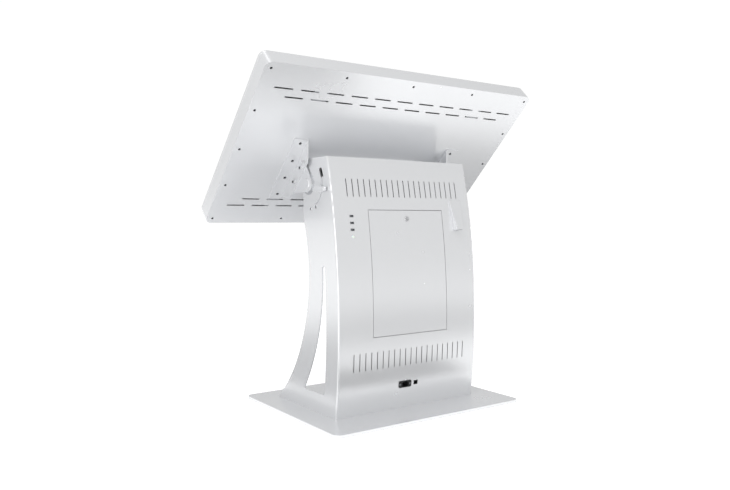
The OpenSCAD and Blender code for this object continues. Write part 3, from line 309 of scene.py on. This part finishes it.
def fastener_tree():
    """Grows a turned screw with a bevelled head and a sunk drive at each point, along its axis."""
    tree = bpy.data.node_groups.new("turned_fastener", "GeometryNodeTree")
    sizes = ("Head radius", "Head height", "Top radius", "Shank radius", "Shank length",
             "Drive radius", "Drive depth")
    tree.interface.new_socket("Places", in_out="INPUT", socket_type="NodeSocketGeometry")
    for name in sizes:
        tree.interface.new_socket(name, in_out="INPUT", socket_type="NodeSocketFloat")
    tree.interface.new_socket("Drive sides", in_out="INPUT", socket_type="NodeSocketInt")
    tree.interface.new_socket("Finish", in_out="INPUT", socket_type="NodeSocketMaterial")
    tree.interface.new_socket("Fasteners", in_out="OUTPUT", socket_type="NodeSocketGeometry")
    given = add(tree, "NodeGroupInput").outputs
    # The head's bevelled top ends at the point, so each part is moved down along the axis.
    rise = add(tree, "ShaderNodeMath", {0: given["Head height"], 1: -1.0}, operation="MULTIPLY")
    head = add(tree, "GeometryNodeMeshCone", {
        "Vertices": 40, "Radius Top": given["Top radius"], "Radius Bottom": given["Head radius"],
        "Depth": given["Head height"]})
    head_down = add(tree, "ShaderNodeCombineXYZ", {"Z": rise.outputs[0]})
    head_set = add(tree, "GeometryNodeTransform", {
        "Geometry": head.outputs["Mesh"], "Translation": head_down.outputs["Vector"]})
    half = add(tree, "ShaderNodeMath", {0: given["Shank length"], 1: -0.5}, operation="MULTIPLY")
    shank = add(tree, "GeometryNodeMeshCylinder", {
        "Vertices": 32, "Radius": given["Shank radius"], "Depth": given["Shank length"]})
    shank_down = add(tree, "ShaderNodeCombineXYZ", {"Z": half.outputs[0]})
    shank_set = add(tree, "GeometryNodeTransform", {
        "Geometry": shank.outputs["Mesh"], "Translation": shank_down.outputs["Vector"]})
    drive = add(tree, "GeometryNodeMeshCylinder", {
        "Vertices": given["Drive sides"], "Radius": given["Drive radius"]})
    deep = add(tree, "ShaderNodeMath", {0: given["Drive depth"], 1: 2.0}, operation="MULTIPLY")
    tree.links.new(deep.outputs[0], drive.inputs["Depth"])
    whole = add(tree, "GeometryNodeMeshBoolean", operation="UNION")
    for part in (head_set, shank_set):
        tree.links.new(part.outputs["Geometry"], whole.inputs["Mesh 2"])
    cut = add(tree, "GeometryNodeMeshBoolean", {
        "Mesh 1": whole.outputs["Mesh"], "Mesh 2": drive.outputs["Mesh"]}, operation="DIFFERENCE")
    axis = add(tree, "GeometryNodeInputNamedAttribute", {"Name": "axis"}, data_type="FLOAT_VECTOR")
    turn = add(tree, "FunctionNodeAlignRotationToVector", {
        "Vector": axis.outputs["Attribute"]}, axis="Z")
    copies = add(tree, "GeometryNodeInstanceOnPoints", {
        "Points": given["Places"], "Instance": cut.outputs["Mesh"],
        "Rotation": turn.outputs["Rotation"]})
    real = add(tree, "GeometryNodeRealizeInstances", {"Geometry": copies.outputs["Instances"]})
    finish = add(tree, "GeometryNodeSetMaterial", {
        "Geometry": real.outputs["Geometry"], "Material": given["Finish"]})
    add(tree, "NodeGroupOutput", {"Fasteners": finish.outputs["Geometry"]})
    return tree


def grown(name, tree, points, attributes, values):
    """Runs a Geometry Nodes tree on points that carry vectors, and returns a plain mesh piece."""
    mesh = bpy.data.meshes.new(name + "_points")
    mesh.from_pydata(points, [], [])
    for key, vectors in attributes.items():
        layer = mesh.attributes.new(key, "FLOAT_VECTOR", "POINT")
        for i, vector in enumerate(vectors):
            layer.data[i].vector = vector
    seed = bpy.data.objects.new(name + "_points", mesh)
    bpy.context.collection.objects.link(seed)
    growth = seed.modifiers.new("growth", "NODES")
    growth.node_group = tree
    sockets = {item.name: item.identifier for item in tree.interface.items_tree
               if item.item_type == "SOCKET" and item.in_out == "INPUT"}
    for key, value in values.items():
        growth[sockets[key]] = value
    evaluated = seed.evaluated_get(bpy.context.evaluated_depsgraph_get())
    made = bpy.data.meshes.new_from_object(evaluated)
    made.name = name
    bpy.data.objects.remove(seed)
    made.shade_smooth()
    made.set_sharp_from_angle(angle=smooth_below)
    piece = bpy.data.objects.new(name, made)
    bpy.context.collection.objects.link(piece)
    return piece


turned_fastener = fastener_tree()
# The drive is sunk through a little over half of the head.
drive_share = 0.55


def fasteners(node, body, finish, outwards, head, top, height, shank, drive, sides=6):
    """Turned screws in place of a CAD node's plain ones: radii and heights in millimetres."""
    places = fastener_places(node, outwards)
    values = {
        "Head radius": head / 1000, "Top radius": top / 1000, "Head height": height / 1000,
        "Shank radius": shank / 1000, "Shank length": min(length for _, _, length in places),
        "Drive radius": drive / 1000, "Drive depth": drive_share * height / 1000,
        "Drive sides": sides, "Finish": finish,
    }
    piece = grown(node + "_turned", turned_fastener, [end for end, _, _ in places],
                  {"axis": [axis for _, axis, _ in places]}, values)
    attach(piece, body)
    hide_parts(node)


zinc_plate = plated("zinc_plated_steel", "#8E9094", 0.36)
dark_screw = plated("blackened_screw_steel", "#3B3C3F", 0.42)
fasteners("base_bolts", "pedestal", zinc_plate, lambda place: (0, 0, -1),
          head=4.0, top=8.0, height=4.0, shank=4.0, drive=2.9)


# ---------------------------------------------------------------- Side plates
# Two 4 mm steel plates carry everything. Each is laser-cut with a curved window and guide
# slot, and its rear edge is bent inwards on a 6 mm radius.

cut_edge = 0.0006
for side in ("left", "right"):
    eased("side_plate_" + side, "pedestal", cut_edge, white_coat, steps=2)


# ---------------------------------------------------------------- Walls inside and in front
# Folded 2 mm sheets close the column and the housing. The square stay bar between the side
# plates is bare galvanised tube.

for node in ("column_front_panel", "upper_front_panel", "housing_floor", "top_cover"):
    eased(node, "pedestal", cut_edge, white_coat, steps=2)
dress("stay_bar", zinc_sheet)


# ---------------------------------------------------------------- Rear cover and cable hood
# One rolled 2 mm sheet with two rows of punched vents, a door opening and socket cut-outs.
# The hood is folded from thin sheet and welded over the cable hole.

eased("rear_cover", "pedestal", cut_edge, white_coat, steps=2)
hood_edge = 0.0012
eased("cable_hood", "pedestal", hood_edge, white_coat)


# ---------------------------------------------------------------- Sockets and lamp
# A three-pin mains inlet and a network socket, moulded in black glass-filled nylon, are screwed
# or snapped into the cover. Three USB sockets in tinned shells stand over a frosted lamp.


def moulded_nylon(name, colour, roughness):
    """Glass-filled nylon from a spark-eroded mould: matt, with a fine even grain."""
    material, tree, shader = start_material(name, colour, roughness)
    place = add(tree, "ShaderNodeTexCoord").outputs["Object"]
    # The real grain is 0.3 mm; it is drawn at 0.8 mm so that it shows up close.
    grain = add(tree, "ShaderNodeTexNoise", {"Vector": place, "Scale": 1 / 0.0008, "Detail": 2.0})
    bump = add(tree, "ShaderNodeBump", {
        "Height": grain.outputs["Fac"], "Strength": 0.25, "Distance": 0.0001})
    tree.links.new(bump.outputs["Normal"], shader.inputs["Normal"])
    return material


black_nylon = moulded_nylon("black_moulded_nylon", "#1C1D1F", 0.52)
moulding_edge = 0.0005
for node in ("mains_inlet", "network_socket"):
    eased(node, "pedestal", moulding_edge, black_nylon, steps=2)
tin_shell = plated("tinned_socket_shell", "#B9BBBE", 0.3)
eased("usb_sockets", "pedestal", 0.0002, tin_shell, steps=2)

# Frosted polycarbonate glows a little within, with a sand-blasted grain of 0.4 mm.
frosted, frosted_tree, frosted_shader = start_material(
    "frosted_lamp_plastic", "#EDF1EE", 0.35, **{
        "Subsurface Weight": 0.3, "Subsurface Scale": 0.002})
frost = add(frosted_tree, "ShaderNodeTexNoise", {
    "Vector": add(frosted_tree, "ShaderNodeTexCoord").outputs["Object"], "Scale": 1 / 0.0004})
frost_bump = add(frosted_tree, "ShaderNodeBump", {
    "Height": frost.outputs["Fac"], "Strength": 0.2, "Distance": 0.0001})
frosted_tree.links.new(frost_bump.outputs["Normal"], frosted_shader.inputs["Normal"])
eased("status_lamp", "pedestal", 0.0003, frosted, steps=2)
inlet_lean = math.radians(5.0)
fasteners("inlet_screws", "pedestal", zinc_plate,
          lambda place: (0, math.cos(inlet_lean), -math.sin(inlet_lean)),
          head=3.4, top=2.4, height=1.4, shank=2.0, drive=1.3)


# ---------------------------------------------------------------- Service door
# The door is cut from the same rolled sheet as the cover, so it lies flush in its opening.
# Zinc-plated goosenecks carry it, and a cam lock with a polished face holds it shut.

door_edge = 0.0008
eased("service_door", "service_door", door_edge, white_coat, steps=3)
for node in ("door_hinge_arms", "hinge_brackets", "lock_cam"):
    dress(node, zinc_plate)


def satin_stainless(name, colour, roughness):
    """Ground stainless steel: a bright shine drawn out by grinding lines along X."""
    material, tree, shader = start_material(name, colour, roughness, metallic=1.0)
    place = add(tree, "ShaderNodeTexCoord").outputs["Object"]
    # The grinding lines are 0.1 mm apart; they are drawn at 0.6 mm so that they show.
    along = add(tree, "ShaderNodeMapping", {"Vector": place, "Scale": (0.04, 1.0, 1.0)})
    lines = add(tree, "ShaderNodeTexNoise", {
        "Vector": along.outputs["Vector"], "Scale": 1 / 0.0006, "Detail": 2.0})
    gloss = add(tree, "ShaderNodeMapRange", {
        "Value": lines.outputs["Fac"], "To Min": roughness - 0.06, "To Max": roughness + 0.1})
    tree.links.new(gloss.outputs["Result"], shader.inputs["Roughness"])
    return material


stainless = satin_stainless("satin_stainless_steel", "#D9DADC", 0.22)
eased("lock_case", "service_door", 0.0004, stainless, steps=2)
eased("lock_barrel", "door_lock", 0.0002, stainless, steps=2)


# ---------------------------------------------------------------- Exhaust fan
# An 80 mm axial fan blows out through the upper vents. Its frame and its rotor are both
# moulded in black glass-filled nylon.

dress("exhaust_fan_frame", black_nylon)
dress("fan_rotor", black_nylon)


# ---------------------------------------------------------------- Ticket printer and roll
# A thermal printer block with a rubber roller draws paper from the roll in the cradle behind
# it and pushes the ticket out of the nylon bezel on the housing's front.

graphite = moulded_nylon("graphite_moulded_case", "#3A3B3F", 0.48)
dress("ticket_printer", graphite)
dress("roll_cradle", zinc_sheet)


# A wave texture's scale for waves one metre apart.
wave_share = 0.31


def ground_rubber(name, colour):
    """Nitrile ground to size: dull, with fine rings round the roller and a chalky bloom."""
    material, tree, shader = start_material(name, colour, 0.75)
    place = add(tree, "ShaderNodeTexCoord").outputs["Object"]
    # Grinding leaves rings 0.1 mm apart along X; they are drawn 0.5 mm apart to show.
    rings = add(tree, "ShaderNodeTexWave", {
        "Vector": place, "Scale": wave_share / 0.0005, "Distortion": 0.6}, bands_direction="X")
    bump = add(tree, "ShaderNodeBump", {
        "Height": rings.outputs["Fac"], "Strength": 0.2, "Distance": 0.0001})
    tree.links.new(bump.outputs["Normal"], shader.inputs["Normal"])
    bloom = add(tree, "ShaderNodeTexNoise", {"Vector": place, "Scale": 1 / 0.006, "Detail": 4.0})
    gloss = add(tree, "ShaderNodeMapRange", {
        "Value": bloom.outputs["Fac"], "To Min": 0.65, "To Max": 0.85})
    tree.links.new(gloss.outputs["Result"], shader.inputs["Roughness"])
    return material


dress("printer_platen", ground_rubber("nitrile_rubber", "#232325"))


def wound_paper(name, colour, middle):
    """Thermal paper: smooth white, and on the roll's ends the fine rings of the wound edges."""
    material, tree, shader = start_material(name, colour, 0.6)
    place = add(tree, "ShaderNodeTexCoord").outputs["Object"]
    centred = add(tree, "ShaderNodeMapping", {"Vector": place, "Location": [-c for c in middle]})
    # Turns lie 0.06 mm apart; a ring is drawn every 1 mm, as where the winding tension changed.
    rings = add(tree, "ShaderNodeTexWave", {
        "Vector": centred.outputs["Vector"], "Scale": wave_share / 0.001, "Distortion": 0.4,
        "Detail": 3.0}, wave_type="RINGS", rings_direction="X")
    tone = add(tree, "ShaderNodeMapRange", {
        "Value": rings.outputs["Fac"], "To Min": 0.9, "To Max": 1.0})
    shade = add(tree, "ShaderNodeVectorMath", {
        0: linear(colour)[:3], "Scale": tone.outputs["Result"]}, operation="SCALE")
    tree.links.new(shade.outputs["Vector"], shader.inputs["Base Color"])
    return material


roll_low, roll_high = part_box("paper_roll")
roll_middle = [(a + b) / 2 for a, b in zip(roll_low, roll_high)]
dress("paper_roll", wound_paper("thermal_paper", "#F0EEE6", roll_middle))
eased("ticket_exit_bezel", "pedestal", 0.001, black_nylon)


# ---------------------------------------------------------------- Computer and power supply
# A small fanless computer stands on the housing floor, and the power supply hangs on the
# right side plate in the column.

eased("mini_pc", "pedestal", 0.002, graphite)
eased("power_supply", "pedestal", 0.001, zinc_sheet, steps=2)


# ---------------------------------------------------------------- Tilt shaft and clamps
# A hollow steel shaft turns in bronze bushes. Friction washers and clamp levers on both sides
# hold the head at any lean. Levers, end caps and index arms are coated like the panels.


def sintered(name, colour):
    """Pressed and sintered bronze powder: a dull metal full of oil-dark pores."""
    material, tree, shader = start_material(name, colour, 0.45, metallic=1.0)
    place = add(tree, "ShaderNodeTexCoord").outputs["Object"]
    # The pores are 0.05 mm wide; they are drawn at 0.5 mm so that they show.
    pores = add(tree, "ShaderNodeTexVoronoi", {"Vector": place, "Scale": 1 / 0.0005})
    tone = add(tree, "ShaderNodeMapRange", {
        "Value": pores.outputs["Distance"], "From Max": 0.5, "To Min": 0.55, "To Max": 1.0})
    shade = add(tree, "ShaderNodeVectorMath", {
        0: linear(colour)[:3], "Scale": tone.outputs["Result"]}, operation="SCALE")
    tree.links.new(shade.outputs["Vector"], shader.inputs["Base Color"])
    return material


dress("pivot_bushes", sintered("sintered_bronze", "#8A6A3E"))
eased("index_arms", "head", cut_edge, white_coat, steps=2)
dress("clamp_bolts", zinc_plate)
dress("friction_washers", stainless)
fasteners("side_screws", "pedestal", stainless, lambda place: (place.x, 0, 0),
          head=5.5, top=4.0, height=1.4, shank=3.0, drive=2.0)
eased("pivot_shaft", "head", 0.0004, stainless, steps=2)
eased("pivot_end_caps", "head", 0.0008, white_coat)
lever_edge = 0.0025
for side in ("left", "right"):
    lever = "clamp_lever_" + side
    eased(lever, lever, lever_edge, white_coat, steps=4)


# ---------------------------------------------------------------- Head case
# The head is a folded steel tray with welded corners. Its back is a flat sheet with two pairs
# of slot rows, held by screws round its edge.

eased("head_shell", "head", 0.0012, white_coat, steps=3)
eased("head_rear_panel", "head", cut_edge, white_coat, steps=2)
back_outwards = (0, math.sqrt(0.5), -math.sqrt(0.5))
fasteners("rear_panel_screws", "head", dark_screw, lambda place: back_outwards,
          head=4.0, top=2.6, height=1.6, shank=2.0, drive=1.5)
for side in ("left", "right"):
    eased("mount_angle_" + side, "head", 0.0008, white_coat)
    eased("tilt_arm_" + side, "head", 0.0008, white_coat)
fasteners("angle_screws", "head", dark_screw, lambda place: back_outwards,
          head=4.6, top=3.2, height=2.0, shank=2.5, drive=1.9)
fasteners("arm_bolts", "head", stainless, lambda place: (place.x, 0, 0),
          head=7.0, top=5.5, height=4.0, shank=4.0, drive=3.2)


# ---------------------------------------------------------------- Display
# A toughened glass with a black printed border lies in the front frame, flush with it. Behind
# it are the display, its two boards, the speakers and the steel channels that carry them.

eased("front_bezel", "head", 0.0015, white_coat)


def printed_glass(name, border, picture, middle, lean, half_size):
    """Etched anti-glare glass, its border printed black behind, the dark picture greyer."""
    material, tree, shader = start_material(name, border, 0.07)
    place = add(tree, "ShaderNodeTexCoord").outputs["Object"]
    moved = add(tree, "ShaderNodeVectorMath", {0: place, 1: middle}, operation="SUBTRACT")
    level = add(tree, "ShaderNodeVectorRotate", {
        "Vector": moved.outputs["Vector"], "Angle": lean}, rotation_type="X_AXIS")
    away = add(tree, "ShaderNodeVectorMath", {0: level.outputs["Vector"]}, operation="ABSOLUTE")
    sides = add(tree, "ShaderNodeSeparateXYZ", {"Vector": away.outputs["Vector"]})
    within = [add(tree, "ShaderNodeMath", {0: sides.outputs[axis], 1: half}, operation="LESS_THAN")
              for axis, half in zip("XY", half_size)]
    both = add(tree, "ShaderNodeMath", {
        0: within[0].outputs[0], 1: within[1].outputs[0]}, operation="MULTIPLY")
    # Sockets 6 and 7 are the mix's two colours.
    colour = add(tree, "ShaderNodeMix", {
        "Factor": both.outputs[0], 6: linear(border), 7: linear(picture)}, data_type="RGBA")
    tree.links.new(colour.outputs[2], shader.inputs["Base Color"])
    # The etched bloom varies over a few centimetres.
    bloom = add(tree, "ShaderNodeTexNoise", {"Vector": place, "Scale": 1 / 0.03, "Detail": 3.0})
    gloss = add(tree, "ShaderNodeMapRange", {
        "Value": bloom.outputs["Fac"], "To Min": 0.05, "To Max": 0.1})
    tree.links.new(gloss.outputs["Result"], shader.inputs["Roughness"])
    return material


glass_low, glass_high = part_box("touch_glass")
glass_middle = [(a + b) / 2 for a, b in zip(glass_low, glass_high)]
head_lean = math.radians(45)
picture_size = (0.9411, 0.5294)
glass = printed_glass("etched_printed_glass", "#08090B", "#1B1D21", glass_middle, -head_lean,
                      [size / 2 for size in picture_size])
eased("touch_glass", "head", 0.0006, glass, steps=2)
dress("lcd_module", zinc_sheet)


def solder_mask(name, colour):
    """A circuit board's green lacquer over copper tracks, which show as paler raised lines."""
    material, tree, shader = start_material(name, colour, 0.35)
    place = add(tree, "ShaderNodeTexCoord").outputs["Object"]
    # Tracks 0.2 mm wide are drawn on a 3 mm grid so that they show.
    tracks = add(tree, "ShaderNodeTexBrick", {
        "Vector": place, "Color1": linear(colour), "Color2": linear("#2B6E49"),
        "Mortar": linear("#6FA37E"), "Scale": 1.0, "Mortar Size": 0.0003, "Brick Width": 0.009,
        "Row Height": 0.003})
    tree.links.new(tracks.outputs["Color"], shader.inputs["Base Color"])
    return material


board_green = solder_mask("green_solder_mask", "#1F5A3A")
dress("display_board", board_green)
dress("display_power_board", board_green)
dress("speakers", black_nylon)
dress("stiffener_channels", zinc_sheet)
